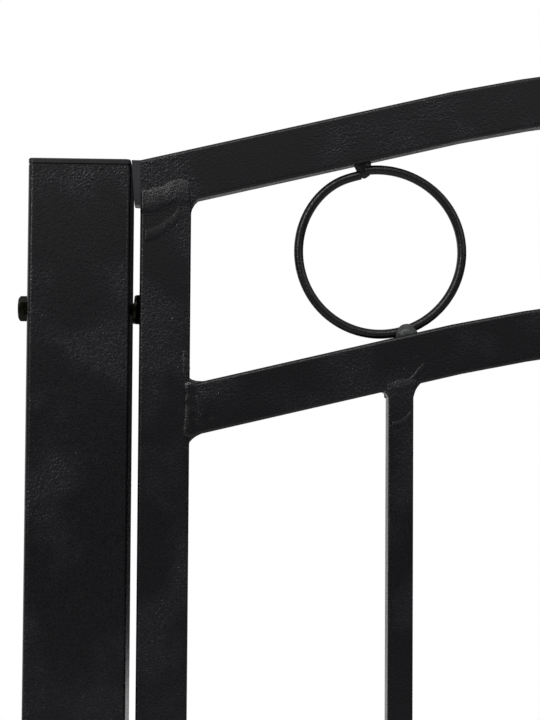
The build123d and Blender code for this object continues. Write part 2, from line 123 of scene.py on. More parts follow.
@dataclass(frozen=True)
class PowderCoat:
    """Polyester powder coat, sprayed and stoved on steel tube.

    It flows into low pebbles a millimetre or two wide that stand out in patches, over a finer
    grain that is everywhere, with a few nibs of dust under the film. Each nib is also painted
    light grey: a painted glint on its bump.
    """

    name: str = "powder_coated_steel"
    colour: str = "0b0b0f"
    patch_colour: str = "121217"
    # painted glint: the light grey that the dust nibs are painted, standing in for their highlights
    nib_glint_colour: str = "6a6a6c"
    roughness: float = 0.22
    roughness_spread: float = 0.12
    patch_mm: float = 42.0
    patch_edges: tuple[float, float] = (0.45, 0.62)
    calm: float = 0.15           # how much of the pebbles is left between the patches
    pebble_mm: float = 1.35
    pebble_height_mm: float = 0.37
    grain_mm: float = 0.8
    grain_height_mm: float = 0.10
    nib_mm: float = 5.0
    nib_share: float = 0.035     # share of the cells that hold a nib
    nib_radius_mm: float = 0.45
    nib_height_mm: float = 0.16

    def build(self) -> bpy.types.Material:
        """Build the material from patches, pebbles, grain and nibs, each nib with a painted glint.

        Returns:
            The material.
        """
        material, tree, place = start_material(self.name)
        patch = add(tree, "ShaderNodeTexNoise", {"Vector": place}, Scale=1 / (self.patch_mm * MM), Detail=2.0)
        where = add(tree, "ShaderNodeMapRange", {"Value": patch.outputs["Fac"]}, From_Min=self.patch_edges[0],
                    From_Max=self.patch_edges[1], To_Min=self.calm, To_Max=1.0)
        pebble = add(tree, "ShaderNodeTexNoise", {"Vector": place}, Scale=1 / (self.pebble_mm * MM),
                     Detail=2.0, Roughness=0.5, Distortion=0.4)
        grain = add(tree, "ShaderNodeTexNoise", {"Vector": place}, Scale=1 / (self.grain_mm * MM), Detail=1.5)
        cell = add(tree, "ShaderNodeTexVoronoi", {"Vector": place}, Scale=1 / (self.nib_mm * MM))
        reach = self.nib_radius_mm / self.nib_mm
        dome = add(tree, "ShaderNodeMapRange", {"Value": cell.outputs["Distance"]}, From_Min=0.0,
                   From_Max=reach, To_Min=1.0, To_Max=0.0, interpolation_type="SMOOTHSTEP")
        drawn = add(tree, "ShaderNodeSeparateColor", {0: cell.outputs["Color"]})
        chosen = add(tree, "ShaderNodeMath", {0: drawn.outputs[0]}, operation="GREATER_THAN")
        chosen.inputs[1].default_value = 1 - self.nib_share
        # the nib mask drives both the nibs' real bump and their painted glint
        nib_and_glint_mask = add(tree, "ShaderNodeMath", {0: dome.outputs[0], 1: chosen.outputs[0]}, operation="MULTIPLY")
        colour = add(tree, "ShaderNodeMix", {0: where.outputs[0]}, data_type="RGBA")
        colour.inputs[6].default_value = linear(self.colour)
        colour.inputs[7].default_value = linear(self.patch_colour)
        # painted glint: each nib is painted light grey over its real bump
        nibs_with_painted_glint = add(tree, "ShaderNodeMix", {0: nib_and_glint_mask.outputs[0], 6: colour.outputs[2]}, data_type="RGBA")
        nibs_with_painted_glint.inputs[7].default_value = linear(self.nib_glint_colour)
        gloss = add(tree, "ShaderNodeMapRange", {"Value": grain.outputs["Fac"]}, From_Min=0.3, From_Max=0.7,
                    To_Min=self.roughness, To_Max=self.roughness + self.roughness_spread)
        fine = add(tree, "ShaderNodeBump", {"Height": grain.outputs["Fac"]}, Strength=1.0,
                   Distance=self.grain_height_mm * MM)
        coarse = add(tree, "ShaderNodeBump", {"Height": pebble.outputs["Fac"], "Strength": where.outputs[0],
                                              "Normal": fine.outputs[0]}, Distance=self.pebble_height_mm * MM)
        dusty = add(tree, "ShaderNodeBump", {"Height": nib_and_glint_mask.outputs[0], "Normal": coarse.outputs[0]},
                    Strength=1.0, Distance=self.nib_height_mm * MM)
        shader = add(tree, "ShaderNodeBsdfPrincipled", {"Base Color": nibs_with_painted_glint.outputs[2],
                                                        "Roughness": gloss.outputs[0],
                                                        "Normal": dusty.outputs[0]}, Metallic=0.0)
        end_material(tree, shader)
        return material


@dataclass(frozen=True)
class MouldedPlastic:
    """Polyethylene, injection moulded against a lightly sparked tool: an even, dull, greyish black."""

    name: str
    colour: str
    worn_colour: str
    roughness: float = 0.42
    roughness_below: float = 0.05
    roughness_above: float = 0.08
    clouds_per_metre: float = 60.0
    spark_mm: float = 0.6
    spark_height_mm: float = 0.02

    def build(self) -> bpy.types.Material:
        """Build the material from a fine spark pattern and a slow change of shade.

        Returns:
            The material.
        """
        material, tree, place = start_material(self.name)
        spark = add(tree, "ShaderNodeTexNoise", {"Vector": place}, Scale=1 / (self.spark_mm * MM), Detail=2.0)
        cloud = add(tree, "ShaderNodeTexNoise", {"Vector": place}, Scale=self.clouds_per_metre, Detail=3.0)
        colour = add(tree, "ShaderNodeMix", {0: cloud.outputs["Fac"]}, data_type="RGBA")
        colour.inputs[6].default_value = linear(self.colour)
        colour.inputs[7].default_value = linear(self.worn_colour)
        gloss = add(tree, "ShaderNodeMapRange", {"Value": cloud.outputs["Fac"]}, From_Min=0.3, From_Max=0.7,
                    To_Min=self.roughness - self.roughness_below,
                    To_Max=self.roughness + self.roughness_above)
        bump = add(tree, "ShaderNodeBump", {"Height": spark.outputs["Fac"]}, Strength=1.0,
                   Distance=self.spark_height_mm * MM)
        shader = add(tree, "ShaderNodeBsdfPrincipled", {"Base Color": colour.outputs[2],
                                                        "Roughness": gloss.outputs[0],
                                                        "Normal": bump.outputs[0]})
        end_material(tree, shader)
        return material


@dataclass(frozen=True)
class PlatedSteel:
    """Zinc-plated steel, bright or passivated black: metal with cloudy patches and rubbed high spots."""

    name: str
    colour: str
    rubbed_colour: str
    roughness: float
    cloud_mm: float = 3.0
    rub_edges: tuple[float, float] = (0.4, 0.68)
    dulling: float = 0.12        # roughness added where it isn't rubbed
    relief_mm: float = 0.03

    def build(self) -> bpy.types.Material:
        """Build the material from one cloud pattern that drives its shade and its gloss.

        Returns:
            The material.
        """
        material, tree, place = start_material(self.name)
        cloud = add(tree, "ShaderNodeTexNoise", {"Vector": place}, Scale=1 / (self.cloud_mm * MM), Detail=4.0,
                    Roughness=0.6)
        rubbed = add(tree, "ShaderNodeMapRange", {"Value": cloud.outputs["Fac"]}, From_Min=self.rub_edges[0],
                     From_Max=self.rub_edges[1])
        colour = add(tree, "ShaderNodeMix", {0: rubbed.outputs[0]}, data_type="RGBA")
        colour.inputs[6].default_value = linear(self.colour)
        colour.inputs[7].default_value = linear(self.rubbed_colour)
        gloss = add(tree, "ShaderNodeMapRange", {"Value": rubbed.outputs[0]},
                    To_Min=self.roughness + self.dulling, To_Max=self.roughness)
        bump = add(tree, "ShaderNodeBump", {"Height": cloud.outputs["Fac"]}, Strength=1.0,
                   Distance=self.relief_mm * MM)
        shader = add(tree, "ShaderNodeBsdfPrincipled", {"Base Color": colour.outputs[2],
                                                        "Roughness": gloss.outputs[0],
                                                        "Normal": bump.outputs[0]}, Metallic=1.0)
        end_material(tree, shader)
        return material


class Finish(Enum):
    """The finishes of the gate, each with the record's slot of the same name.

    The thin powder coat is what the feet of the rings have, where bare metal shines through it.
    """

    POWDER = PowderCoat()
    THIN_POWDER = PowderCoat(colour="3a3b3d", patch_colour="565758", patch_mm=4.0, pebble_mm=1.3)
    CAP = MouldedPlastic("post_cap_plastic", "17181b", "1e1f22", roughness=0.40)
    PLUG = MouldedPlastic("plug_plastic", "2a2a2e", "323236", roughness=0.34, spark_height_mm=0.008)
    BLACK_ZINC = PlatedSteel("black_zinc_fasteners", "11100b", "32312a", roughness=0.26)
    BRIGHT_ZINC = PlatedSteel("bolt_steel", "8d8f90", "b4b6b8", roughness=0.28)
    RUBBER = MouldedPlastic("rubber_buffer", "101010", "161616", roughness=0.62)

    @property
    def slot(self) -> str:
        """Material slot of the record that this finish stands for."""
        return self.value.name


class Paintshop:
    """Builds each finish once and puts it on pieces."""

    def __init__(self) -> None:
        """Build every finish."""
        self.materials = {finish: finish.value.build() for finish in Finish}
        self.by_slot = {finish.slot: finish for finish in Finish if finish is not Finish.THIN_POWDER}

    def dress(self, piece: bpy.types.Object, finish: Finish) -> None:
        """Give a piece one finish.

        Args:
            piece: new piece, not a CAD node.
            finish: finish that covers all of it.
        """
        piece.data.materials.clear()
        piece.data.materials.append(self.materials[finish])

    def dress_frame(self) -> None:
        """Give every CAD node the finish that the record names for it."""
        for row in frame["record"]["subparts"]:
            node = frame["nodes"][row["node"]]
            material = self.materials[self.by_slot[row["material_slot"]]]
            if not node.material_slots:
                node.data.materials.append(material)
            for slot in node.material_slots:
                slot.material = material


# ---- surfaces ----------------------------------------------------------------------------
def unit(vector: Array) -> Array:
    """Scale vectors, along the last axis, to length 1."""
    return vector / np.linalg.norm(vector, axis=-1, keepdims=True)


def skin(rings: Array, near: Array, far: Array) -> tuple[Array, Array, Array]:
    """Close a stack of rings with a pole at each end.

    Args:
        rings: points of shape (rings, points round, 3), right-handed about the way from near to far.
        near: pole before the first ring.
        far: pole after the last ring.
    Returns:
        Points, four-sided faces and three-sided faces.
    """
    count, around = rings.shape[:2]
    points = np.concatenate([rings.reshape(-1, 3), near[None], far[None]])
    this = np.arange(count * around).reshape(count, around)
    after = np.roll(this, -1, axis=1)
    quads = np.stack([this[:-1], after[:-1], after[1:], this[1:]], axis=-1).reshape(-1, 4)
    first, last = count * around, count * around + 1
    near_fan = np.stack([after[0], this[0], np.full(around, first)], axis=-1)
    far_fan = np.stack([this[-1], after[-1], np.full(around, last)], axis=-1)
    return points, quads, np.concatenate([near_fan, far_fan])


def as_piece(name: str, skins: list, body: str, stands_for: tuple[str, ...] = ()) -> bpy.types.Object:
    """Join closed skins in one smooth-shaded piece that rides on a body.

    Args:
        name: object name.
        skins: what `skin` returned, one for each closed shell.
        body: CAD body that the piece moves with.
        stands_for: CAD nodes that it is shown in place of.
    Returns:
        The piece.
    """
    starts = np.cumsum([0] + [len(points) for points, _, _ in skins[:-1]])
    points = np.concatenate([points for points, _, _ in skins])
    quads = np.concatenate([quads + start for start, (_, quads, _) in zip(starts, skins)])
    fans = np.concatenate([fans + start for start, (_, _, fans) in zip(starts, skins)])
    mesh = bpy.data.meshes.new(name)
    mesh.from_pydata(points.tolist(), [], quads.tolist() + fans.tolist())
    mesh.polygons.foreach_set("use_smooth", np.ones(len(mesh.polygons), dtype=bool))
    piece = bpy.data.objects.new(name, mesh)
    bpy.context.scene.collection.objects.link(piece)
    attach(piece, body)
    if stands_for:
        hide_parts(*stands_for)
    return piece


def lumps(rng: np.random.Generator, along: Array, turn: Array, finest: float) -> Array:
    """Uneven height of hand-laid metal, about -1 to 1.

    Args:
        rng: where its waves are drawn from.
        along: distance along the run, millimetres, shape (rings, 1).
        turn: angle round the run, shape (1, points).
        finest: shortest wave, millimetres.
    Returns:
        Heights of shape (rings, points).
    """
    coarsest = max(9.0, 3 * finest)
    fading, usual_peak = 0.8, 2.4
    waves = np.geomspace(coarsest, finest, 7)
    total = np.zeros(np.broadcast_shapes(along.shape, turn.shape))
    for number, wave in enumerate(waves):
        phase, skew = rng.uniform(0, tau, 2)
        sway = rng.uniform(0.4, 1.6)
        around = rng.integers(0, 4)
        total += np.sin(tau * along / wave + phase + sway * np.sin(turn * around + skew)) * fading ** number
    return total / usual_peak


class Section(Enum):
    """Cross-sections of a run of weld."""

    ROUND = "convex bead"
    FILLET = "hollow fillet in an inside corner"


POINTS_ROUND = 28        # points round a bead or a wire
RING_SPACING = 0.42      # millimetres between the rings of a bead
FEWEST_RINGS, MOST_RINGS = 20, 260
RIPPLE_PITCH = 1.9       # millimetres between the ripples of a run that was not ground over
GROUND_OVER = 2.0        # a run whose finest lumps are this long or longer, millimetres, was ground over


@dataclass(frozen=True)
class Bead:
    """One run of weld, laid along a smooth line, all lengths in millimetres.

    Attributes:
        path: points that its line goes through.
        across: direction of its width, or of a fillet's first leg.
        outwards: direction of its height, or of a fillet's second leg.
        wide: half its width, or a fillet's first leg.
        high: half its height, or a fillet's second leg.
        section: shape of its cross-section.
        uneven: how lumpy it is, as a share of its size.
        end_scale: its size at the far end, as a share of its size at the near end.
        finest: smallest lumps, millimetres; a run that was ground over has only coarse ones.
        taper: length over which each end rounds off; 0 for an end as blunt as the run is high.
    """

    path: tuple
    across: tuple[float, float, float]
    outwards: tuple[float, float, float]
    wide: float
    high: float
    section: Section = Section.ROUND
    uneven: float = 0.12
    end_scale: float = 1.0
    finest: float = 1.3
    taper: float = 0.0

    def line(self, share: Array) -> Array:
        """Points of the line that the bead follows, a polynomial through its path.

        Args:
            share: how far along each point is, 0 to 1.
        Returns:
            Points of shape (shares, 3).
        """
        stops = np.array(self.path, dtype=float)
        knots = np.concatenate([[0], np.cumsum(np.linalg.norm(np.diff(stops, axis=0), axis=1))])
        knots /= knots[-1]
        fits = [np.polyfit(knots, axis, len(stops) - 1) for axis in stops.T]
        return np.stack([np.polyval(fit, share) for fit in fits], axis=1)

    def outline(self, around: int) -> Array:
        """Cross-section of the bead.

        Args:
            around: number of points.
        Returns:
            Width and height of each point, shape (around, 2).
        """
        turn = np.linspace(0, tau, around, endpoint=False)
        if self.section is Section.ROUND:
            return np.stack([np.cos(turn) * self.wide, np.sin(turn) * self.high], axis=1)
        sunk, hollowness = 0.6, 0.6
        back = np.array([(-sunk, self.high), (-sunk, self.high / 2), (-sunk, -sunk), (self.wide / 2, -sunk),
                         (self.wide, -sunk)])
        bend = np.linspace(0, pi / 2, around - len(back))
        arc = np.stack([1 - np.sin(bend), 1 - np.cos(bend)], axis=1)
        flat = np.stack([1 - bend / bend[-1], bend / bend[-1]], axis=1)
        face = (hollowness * arc + (1 - hollowness) * flat) * np.array([self.wide, self.high])
        return np.concatenate([face, back])

    def surface(self, seed: int) -> tuple[Array, Array, Array]:
        """Closed skin of the bead.

        Args:
            seed: each seed gives other lumps.
        Returns:
            What `skin` returns, in metres.
        """
        rng = np.random.default_rng(seed)
        length = np.linalg.norm(np.diff(np.array(self.path, dtype=float), axis=0), axis=1).sum()
        size = min(self.wide, self.high)
        cap = min(self.taper or (size if self.section is Section.ROUND else 0.8), length / 3)
        count = int(np.clip(length / RING_SPACING, FEWEST_RINGS, MOST_RINGS))
        even = np.linspace(0, 1, count)
        share = (even + 0.5 * (1 - np.cos(pi * even))) / 2
        along = share * length
        inset = np.minimum(along, length - along)
        close = np.sqrt(np.clip(1 - (1 - np.clip(inset / cap, 0.02, 1)) ** 2, 0, 1))
        outline = self.outline(POINTS_ROUND)
        turn = np.linspace(0, tau, POINTS_ROUND, endpoint=False)[None]
        height = 1 + self.uneven * lumps(rng, along[:, None], turn, self.finest)
        if self.finest < GROUND_OVER:
            height += 0.3 * self.uneven * np.sin(tau * along[:, None] / RIPPLE_PITCH + 1.3 * np.cos(turn))
        height *= (close * np.linspace(1, self.end_scale, count))[:, None]
        middle = self.line(share)
        side = unit(np.array(self.across, dtype=float))
        out = unit(np.array(self.outwards, dtype=float))
        reach = outline[None, :, :1] * side + outline[None, :, 1:] * out
        rings = middle[:, None] + height[..., None] * reach
        way = middle[-1] - middle[0]
        if np.dot(np.cross(side, out), way) < 0:
            rings = rings[:, ::-1]
        return skin(rings * MM, middle[0] * MM, middle[-1] * MM)


# ---- places on the gate ------------------------------------------------------------------
X, Y, Z = (1.0, 0.0, 0.0), (0.0, 1.0, 0.0), (0.0, 0.0, 1.0)
FRONT, BACK, DOWN = (0.0, -1.0, 0.0), (0.0, 1.0, 0.0), (0.0, 0.0, -1.0)


def box_mm(node: str) -> tuple[Array, Array]:
    """Box of a CAD node, millimetres.

    Args:
        node: name of the node.
    Returns:
        Its lowest and its highest corner.
    """
    low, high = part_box(node)
    return np.array(low) / MM, np.array(high) / MM


class Gate:
    """Places on the CAD model that the details are laid on, all in millimetres."""

    slope = 13.3           # degrees, straight ends of both rails
    rail = 30.0            # height of a rail, square to itself
    bends = 6              # press bends from each straight end to the level crown
    pitch = 43.0           # length of rail between two bends

    def __init__(self) -> None:
        """Read the stiles, the rails and the bars from the frame."""
        low, high = box_mm("hinge_stile")
        self.front, self.back = low[1], high[1]
        self.left, self.inner_left = low[0], high[0]
        low, high = box_mm("lock_stile")
        self.inner_right, self.right = low[0], high[0]
        self.middle = (self.left + self.right) / 2
        self.top = box_mm("hinge_post_cap")[1][2]
        self.fall = box_mm("top_rail")[1][2] - box_mm("ring_rail")[1][2]
        self.floor_rail = box_mm("bottom_rail")

    def arch(self, x: float, drop: float, fall: float = 0.0) -> tuple[float, float]:
        """Place on a line that follows the top rail.

        Args:
            x: place along the gate.
            drop: distance of the line below the rail's top edge, square to it.
            fall: how far the rail itself is below the top rail.
        Returns:
            Height of the line at x, and its slope there in radians.
        """
        angles = np.radians(self.slope * (1 - np.arange(self.bends + 1) / self.bends))
        bent = self.pitch * np.cos(angles[1:-1]).sum()
        straight = ((self.right - self.left) / 2 - bent - self.pitch / 2) / cos(angles[0])
        runs = np.concatenate([[straight], np.full(self.bends - 1, self.pitch)])
        edge_x = self.left + np.concatenate([[0], np.cumsum(runs * np.cos(angles[:-1]))])
        edge_z = self.top - fall + np.concatenate([[0], np.cumsum(runs * np.sin(angles[:-1]))])
        near = min(x, 2 * self.middle - x)
        half = np.concatenate([[angles[0]], (angles[:-1] + angles[1:]) / 2])
        reach = drop / np.cos(np.concatenate([[0], (angles[:-1] - angles[1:]) / 2]))
        line_x = edge_x + reach * np.sin(half)
        line_z = edge_z - reach * np.cos(half)
        place = int(np.clip(np.searchsorted(line_x, near) - 1, 0, self.bends))
        height = line_z[place] + (near - line_x[place]) * np.tan(angles[place])
        side = 1 if x <= self.middle else -1
        return float(height), side * float(angles[place])


class Welder:
    """Lays every weld of the leaf and the spatter round them."""

    def __init__(self, gate: Gate) -> None:
        """Start with no welds.

        Args:
            gate: places that the welds are laid at.
        """
        self.gate = gate
        self.top: list[Bead] = []
        self.low: list[Bead] = []
        self.feet: list[Bead] = []

    def both_faces(self, runs: list[Bead], path: tuple, across: tuple, wide: float, proud: float,
                   uneven: float = 0.12, finest: float = 3.0, lean: float = 0.0,
                   fullness: float = 2.6, taper: float = 0.0) -> None:
        """Lay one low run on the front face and a flatter one on the back face.

        The back face comes within a millimetre and a half of the hinge post when the leaf is open.

        Args:
            runs: list that they go into.
            path: x and z of the points of their line.
            across: direction of their width.
            wide: half the width that shows.
            proud: how far they stand out of the face.
            uneven: lumps as a share of their size.
            finest: smallest lumps.
            lean: how much the side that `across` points to is sunk, so that only the other edge shows.
            fullness: half its whole height over what stands out; less is flatter, with a blunter edge.
            taper: length over which each end rounds off; 0 for an end as blunt as the run is high.
        """
        faces = ((self.gate.front, FRONT, 1, proud), (self.gate.back, BACK, -1, min(0.5 * proud, 0.35)))
        for y, outwards, way, stands in faces:
            high = fullness * stands
            line = tuple((x, y + way * (high - stands), z) for x, z in path)
            tilted = (across[0], lean if way > 0 else 0.0, across[2])
            half_wide = 1.3 * wide
            runs.append(Bead(line, tilted, outwards, half_wide, high, uneven=uneven, finest=finest,
                             taper=taper))

    def corner(self, runs: list[Bead], x: float, z: float, first: tuple, second: tuple, leg: float,
               other_leg: float) -> None:
        """Lay a hollow fillet from front to back in an inside corner.

        Args:
            runs: list that it goes into.
            x: place of the corner along the gate.
            z: height of the corner.
            first: direction of its first leg.
            second: direction of its second leg.
            leg: length of the first leg.
            other_leg: length of the second leg.
        """
        short = 0.15
        path = ((x, self.gate.front + short, z), (x, self.gate.back - short, z))
        runs.append(Bead(path, first, second, leg, other_leg, Section.FILLET, uneven=0.05))

    def rails_to_stiles(self) -> None:
        """Weld the top rail on the stiles and the ring rail between them."""
        gate = self.gate
        for x_edge, x_inner, way in ((gate.left, gate.inner_left, 1), (gate.right, gate.inner_right, -1)):
            z_edge = gate.arch(x_edge, gate.rail)[0]
            z_inner = gate.arch(x_inner, gate.rail)[0]
            along = (way * cos(radians(gate.slope)), 0.0, sin(radians(gate.slope)))
            # seam of the top rail on the stile: a low swelling of the rail with a lip along its foot
            seam = ((x_edge + way * 0.4, z_edge + 7.4), (x_edge + way * 4, z_edge + 6.6),
                    (x_edge + way * 13, z_edge + 9.4), (x_inner - way * 1, z_inner + 4.6))
            self.both_faces(self.top, seam, Z, 6.9, 0.85, uneven=0.05, finest=5.0, lean=0.075, fullness=1.45)
            # what is left of a run on the stile that was ground over
            ridge = ((x_edge + way * 3, z_edge - 14), (x_edge + way * 13, z_edge - 9.5),
                     (x_inner - way * 7, z_inner - 7))
            self.both_faces(self.top, ridge, Z, 4.0, 0.20, uneven=0.06, finest=6.0, lean=0.03)
            self.corner(self.top, x_inner, z_inner, along, DOWN, 4.2, 5.8)
            # upright seam of the ring rail's end, with a short run-out above it and a ground patch beside it
            z_high = gate.arch(x_inner, 0.0, gate.fall)[0]
            z_low = gate.arch(x_inner, gate.rail, gate.fall)[0]
            seam = ((x_inner + way * 0.2, z_high + 2.0), (x_inner + way * 1.2, z_high - 12),
                    (x_inner + way * 0.6, z_low + 8), (x_inner + way * 0.4, z_low - 0.6))
            self.both_faces(self.top, seam, (way, 0.0, 0.0), 3.4, 0.8, uneven=0.08, finest=6.0, lean=0.05,
                            fullness=1.9, taper=3.0)
            run_out = ((x_inner - way * 3.0, z_high + 20), (x_inner - way * 2.4, z_high + 6))
            self.both_faces(self.top, run_out, X, 1.8, 0.45, uneven=0.15)
            patch = ((x_inner + way * 6.5, z_high - 4), (x_inner + way * 8.5, z_high - 15),
                     (x_inner + way * 6.0, z_low + 7))
            self.both_faces(self.top, patch, X, 3.4, 0.22, uneven=0.06, finest=6.0)
            # two drops stuck beside the seam
            for place, size in (((-2.6, -10.5), 1.0), ((-1.0, 7.6), 1.3)):
                x = x_inner + way * place[0]
                z = (z_high if place[1] < 0 else z_low) + place[1]
                drop = ((x - way * size, z), (x + way * size, z + 0.5))
                self.both_faces(self.top, drop, Z, size, 1.5, finest=1.0)
            self.corner(self.top, x_inner, z_high, Z, along, 3.8, 9.0)
            self.corner(self.top, x_inner, z_low, along, DOWN, 7.4, 3.8)

    def bars(self) -> None:
        """Weld the bars to the ring rail and to the bottom rail."""
        gate = self.gate
        floor = gate.floor_rail[1][2]
        for number in range(1, 6):
            low, high = box_mm(f"bar_{number}")
            middle = (low[0] + high[0]) / 2
            for x, way, leg, drop in ((low[0], -1, 3.2, 3.4), (high[0], 1, 4.4, 7.2)):
                z, angle = gate.arch(x, gate.rail, gate.fall)
                along = (way * cos(angle), 0.0, way * sin(angle))
                self.corner(self.top, x, z, along, DOWN, leg, drop)
                self.corner(self.low, x, floor, (float(way), 0.0, 0.0), Z, 4.0, 3.4)
            z, angle = gate.arch(middle, gate.rail, gate.fall)
            # two bowed ridges left by the grinder, one over the seam and one on the bar
            upper = ((middle - 6.6, z - 6.6), (middle - 1.0, z - 3.0), (middle + 7.4, z + 5.4),
                     (middle + 14, z + 12.6))
            self.both_faces(self.top, upper, Z, 3.0, 0.26, uneven=0.06, finest=6.0)
            lower = ((middle - 5.6, z - 23.0), (middle + 1.0, z - 21.0), (middle + 6.0, z - 16.0))
            self.both_faces(self.top, lower, Z, 3.0, 0.26, uneven=0.06, finest=6.0)
            tilt = tan(angle)
            seam = ((middle - 8.6, z - 8.6 * tilt + 1.6), (middle + 9.2, z + 9.2 * tilt + 1.6))
            self.both_faces(self.top, seam, Z, 4.4, 0.45, uneven=0.06, finest=4.0, lean=0.08)
            foot = ((middle - 7.0, floor + 0.2), (middle, floor + 0.8), (middle + 7.0, floor))
            self.both_faces(self.low, foot, Z, 2.4, 0.8, uneven=0.2)

    def lower_corners(self) -> None:
        """Weld the bottom rail between the stiles and the lock plate beside the lock stile."""
        gate = self.gate
        low, high = gate.floor_rail[0][2], gate.floor_rail[1][2]
        for x, way in ((gate.inner_left, 1.0), (gate.inner_right, -1.0)):
            seam = ((x, low - 1), (x + 0.5, low + 12), (x - 0.4, high + 1))
            self.both_faces(self.low, seam, X, 2.8, 1.0, uneven=0.2)
            self.corner(self.low, x, high, (way, 0.0, 0.0), Z, 5.0, 4.2)
            self.corner(self.low, x, low, (way, 0.0, 0.0), DOWN, 4.4, 4.4)
        low, high = box_mm("lock_plate")
        inset, half_run = 18, 14
        for x, way in ((low[0], 1.0), (high[0], -1.0)):
            for z in (low[2] + inset, (low[2] + high[2]) / 2, high[2] - inset):
                path = ((x, high[1], z - half_run), (x, high[1], z + half_run))
                self.low.append(Bead(path, (way, 0.0, 0.0), Y, 3.0, 2.6, Section.FILLET, uneven=0.08))

    def ring_joints(self) -> None:
        """Weld each ring on the ring rail: a half-round blob at one side of where it stands."""
        gate = self.gate
        ring_radius, beside = 51.8, 3.9
        half_long, half_wide, half_high = 5.6, 6.4, 6.0
        for name, side in (("ring_left", 1.0), ("ring_centre", 1.0), ("ring_right", -1.0)):
            low, high = box_mm(name)
            y = (low[1] + high[1]) / 2
            centre = (low[0] + high[0]) / 2
            lean = 0.0 if name == "ring_centre" else radians(gate.slope)
            x = centre + side * (ring_radius * sin(lean) + beside)
            z, angle = gate.arch(x, 0.0, gate.fall)
            path = ((x, y - half_long, z), (x, y, z + 0.3), (x, y + half_long, z))
            self.feet.append(Bead(path, (cos(angle), 0.0, sin(angle)), (-sin(angle), 0.0, cos(angle)),
                                  half_wide, half_high, uneven=0.10))

    def spatter(self, rng: np.random.Generator, count: int) -> list:
        """Small drops of metal stuck on the faces beside the upper welds, all but flat.

        Args:
            rng: where places and sizes are drawn from.
            count: number of drops round each weld.
        Returns:
            A closed skin for each drop.
        """
        gate = self.gate
        spread, farthest, squat, flatness = 6.5, 13, 0.7, 0.5
        smallest, largest = 0.25, 0.7
        near_pole = 0.25
        drops = []
        homes = [(gate.inner_left - 14, gate.top - 36), (gate.inner_left + 4, gate.top - gate.fall - 8)]
        for low, high in (box_mm(f"bar_{number}") for number in range(1, 6)):
            homes.append(((low[0] + high[0]) / 2, high[2] + 12))
        polar = np.linspace(near_pole, pi - near_pole, 6)[:, None]
        turn = np.linspace(0, tau, 10, endpoint=False)[None]
        ball = np.stack([np.sin(polar) * np.cos(turn), np.cos(polar) + 0 * turn,
                         -np.sin(polar) * np.sin(turn)], axis=-1)
        for home_x, home_z in homes:
            for place in rng.normal(0, spread, (count, 2)).clip(-farthest, farthest):
                size = rng.uniform(smallest, largest)
                centre = np.array([home_x + place[0], gate.front, home_z + place[1] * squat])
                stretch = np.array([size, size * flatness, size])
                pole = np.array(Y) * stretch
                drops.append(skin((centre + ball[::-1] * stretch) * MM, (centre - pole) * MM,
                                  (centre + pole) * MM))
        return drops

    def lay(self) -> tuple[list[bpy.types.Object], bpy.types.Object]:
        """Lay all welds.

        Returns:
            The powder-coated pieces, then the thinly coated feet of the rings.
        """
        self.rails_to_stiles()
        self.bars()
        self.ring_joints()
        self.lower_corners()
        top = [bead.surface(seed) for seed, bead in enumerate(self.top)]
        low = [bead.surface(seed) for seed, bead in enumerate(self.low, 500)]
        drops = self.spatter(np.random.default_rng(41), count=9)
        feet = [bead.surface(seed) for seed, bead in enumerate(self.feet, 900)]
        coated = [as_piece("upper_welds", top, "leaf"), as_piece("lower_welds", low, "leaf"),
                  as_piece("weld_spatter", drops, "leaf")]
        return coated, as_piece("ring_foot_welds", feet, "leaf")


